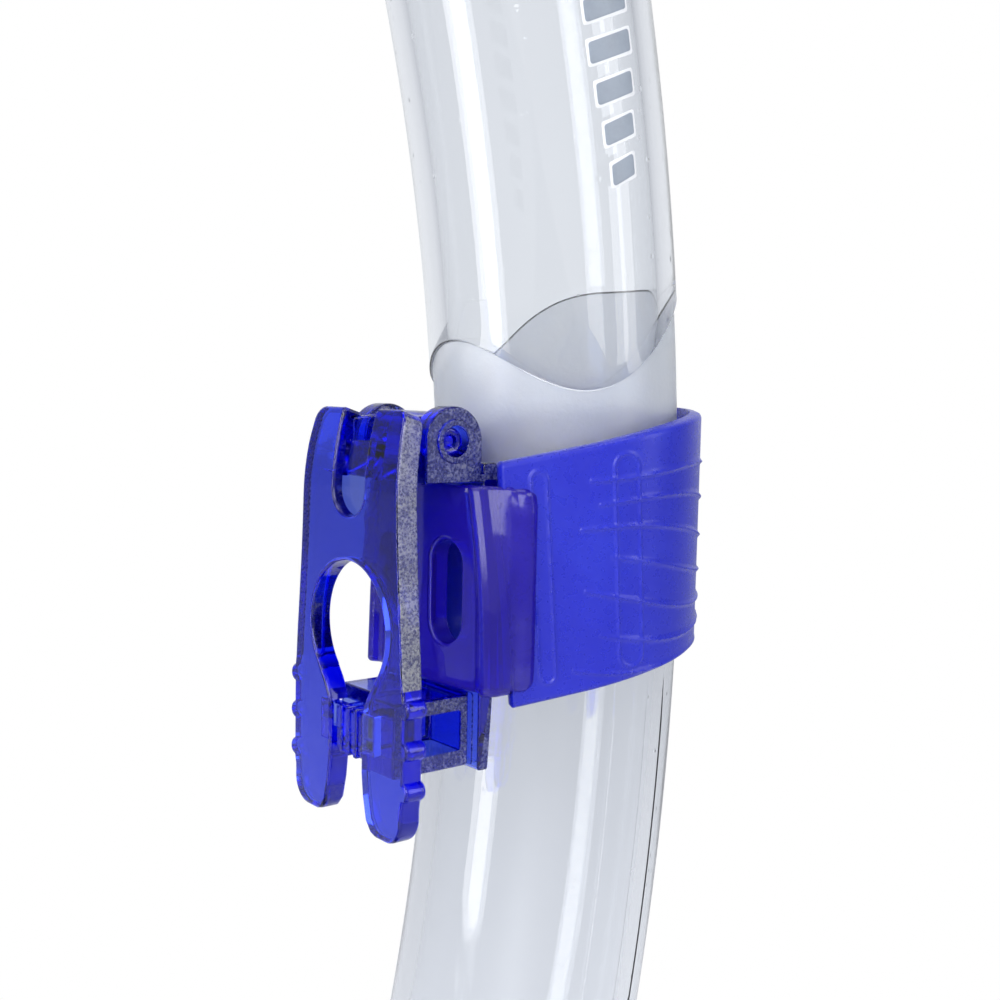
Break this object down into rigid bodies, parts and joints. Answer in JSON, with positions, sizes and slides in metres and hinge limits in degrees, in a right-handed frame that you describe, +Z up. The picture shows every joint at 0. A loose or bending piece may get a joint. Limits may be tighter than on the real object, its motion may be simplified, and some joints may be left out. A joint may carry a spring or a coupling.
{
  "type": "snorkel tube",
  "caption": "Contoured clear snorkel tube with a soft collar and hinged strap clip, float-valve top, flexible hose, purge chamber and mouthpiece.",
  "frame": {"origin": "centre of the clip's strap gap", "axes": "+Z up along the tube at the clip, +Y along the strap, -X out of the clip's front towards the head"},
  "size_m": [0.1706, 0.062, 0.3622],
  "materials": {
    "clear_tube": "clear polycarbonate, polished, frosted where the collar grips",
    "blue_soft": "frosted translucent blue elastomer",
    "blue_hard": "transparent deep blue moulding, fine spark texture on its edges",
    "blue_dark": "deep blue moulding",
    "silicone_blue": "satin blue silicone",
    "silicone_clear": "milky clear silicone",
    "silicone_black": "matt black silicone",
    "lever_white": "white acetal",
    "float_foam": "orange closed-cell float",
    "steel_pin": "stainless pin"
  },
  "bodies": {
    "collar": {"keeper_collar": "blue_soft", "clip_body": "blue_hard", "clip_hinge_pin": "blue_dark"},
    "gate": {"clip_gate": "blue_hard"},
    "tube": {"main_tube": "clear_tube", "top_gasket": "silicone_black", "top_base": "blue_hard", "top_cage": "blue_hard", "top_cap": "blue_dark", "valve_pin": "steel_pin", "flex_hose": "silicone_blue", "hose_ring_upper": "blue_dark"},
    "float": {"valve_float": "float_foam"},
    "lever": {"valve_lever": "lever_white", "valve_seal": "silicone_black"},
    "mouth_end": {"hose_ring_lower": "blue_dark", "purge_chamber": "clear_tube", "purge_seat": "blue_dark", "purge_membrane": "silicone_clear", "purge_cover": "blue_hard", "mouthpiece": "silicone_blue", "mouthpiece_tie": "silicone_black"}
  },
  "joints": [
    {"name": "gate_hinge", "type": "hinge", "parent": "collar", "child": "gate", "pos_m": [0.0021, 0, 0.0133], "axis": [0, 1, 0], "range_deg": [0, 110]},
    {"name": "collar_turn", "type": "hinge", "parent": "collar", "child": "tube", "pos_m": [0.02, 0, 0], "axis": [0, 0, 1], "range_deg": [-30, 30]},
    {"name": "float_rise", "type": "slide", "parent": "tube", "child": "float", "axis": [-0.5299, 0, 0.848], "range_m": [0, 0.0048]},
    {"name": "valve_close", "type": "hinge", "parent": "tube", "child": "lever", "pos_m": [-0.04556, 0, 0.19901], "axis": [0, 1, 0], "range_deg": [-35, 0]},
    {"name": "hose_flex", "type": "hinge", "parent": "tube", "child": "mouth_end", "pos_m": [-0.00696, 0, -0.11509], "axis": [0, 1, 0], "range_deg": [-35, 15], "stiffness_Nm_per_rad": 0.6, "springref_deg": 2.01, "deforming": ["flex_hose"]}
  ],
  "couplings": [
    {"joint": "valve_close", "follows": "float_rise", "rad_per_m": -127}
  ]
}
